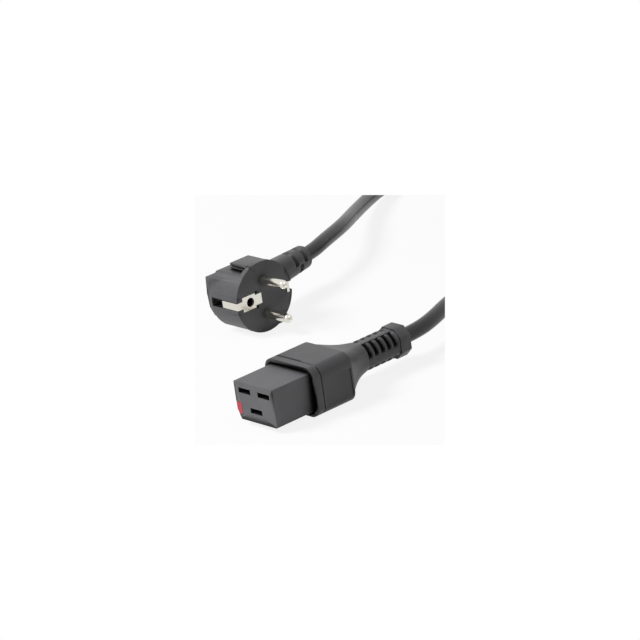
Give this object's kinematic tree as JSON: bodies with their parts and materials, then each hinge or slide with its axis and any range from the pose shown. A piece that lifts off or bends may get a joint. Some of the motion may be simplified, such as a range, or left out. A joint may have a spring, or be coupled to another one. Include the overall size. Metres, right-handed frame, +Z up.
{
  "type": "locking power cord",
  "caption": "Power cord with a locking rectangular connector, its release slide, a round angled earthed plug and a round flexible cord.",
  "frame": {"origin": "on the floor under the middle of the connector; the free cord, its coil and the plug are not counted", "axes": "+Z up; +Y along the connector from its face to its cord, so the face looks to -Y; the release slide is on the -X side"},
  "size_m": [0.2287, 0.3625, 0.039],
  "materials": {
    "nose_plastic": "moulded dark grey plastic with a satin face",
    "hood_pvc": "soft moulded dark grey PVC, satin",
    "plug_pvc": "soft moulded dark grey PVC, satin",
    "bridge_plastic": "hard black plastic",
    "red_plastic": "red moulded plastic, slightly glossy",
    "contact_brass": "stamped brass strip",
    "plain_steel": "plain steel",
    "nickel_plate": "nickel plated brass, bright",
    "cord_jacket": "black PVC cord jacket, smooth",
    "tie_plastic": "black plastic covered wire",
    "brown_pvc": "brown core insulation",
    "blue_pvc": "blue core insulation",
    "green_yellow_pvc": "green and yellow core insulation"
  },
  "bodies": {
    "cord_set": {"connector_nose": "nose_plastic", "connector_hood": "hood_pvc", "contact_retainer": "nose_plastic", "live_contact": "contact_brass", "neutral_contact": "contact_brass", "earth_contact": "contact_brass", "lock_pivot_pin": "plain_steel", "lock_spring": "plain_steel", "live_core": "brown_pvc", "neutral_core": "blue_pvc", "earth_core": "green_yellow_pvc", "cord_in_connector": "cord_jacket", "cord_at_connector": "cord_jacket", "cord_coil": "cord_jacket", "coil_tie": "tie_plastic", "cord_at_plug": "cord_jacket", "cord_in_plug": "cord_jacket", "plug_body": "plug_pvc", "plug_bridge": "bridge_plastic", "plug_pin_upper": "nickel_plate", "plug_pin_lower": "nickel_plate", "earth_bracket": "nickel_plate", "earth_sleeve": "nickel_plate", "plug_live_core": "brown_pvc", "plug_neutral_core": "blue_pvc", "plug_earth_core": "green_yellow_pvc"},
    "slide": {"release_slide": "red_plastic"},
    "plate": {"lock_plate": "plain_steel"}
  },
  "joints": [
    {"name": "release_pull", "type": "slide", "parent": "cord_set", "child": "slide", "axis": [0, 1, 0], "range_m": [0, 0.003], "stiffness_N_per_m": 120, "springref_m": -0.0015, "deforming": ["lock_spring"]},
    {"name": "lock_plate_tilt", "type": "hinge", "parent": "cord_set", "child": "plate", "pos_m": [0.0072, -0.0406, 0.0091], "axis": [0, 0, -1], "range_deg": [0, 11.5]}
  ],
  "couplings": [
    {"joint": "lock_plate_tilt", "follows": "release_pull", "rad_per_m": 52.08}
  ]
}
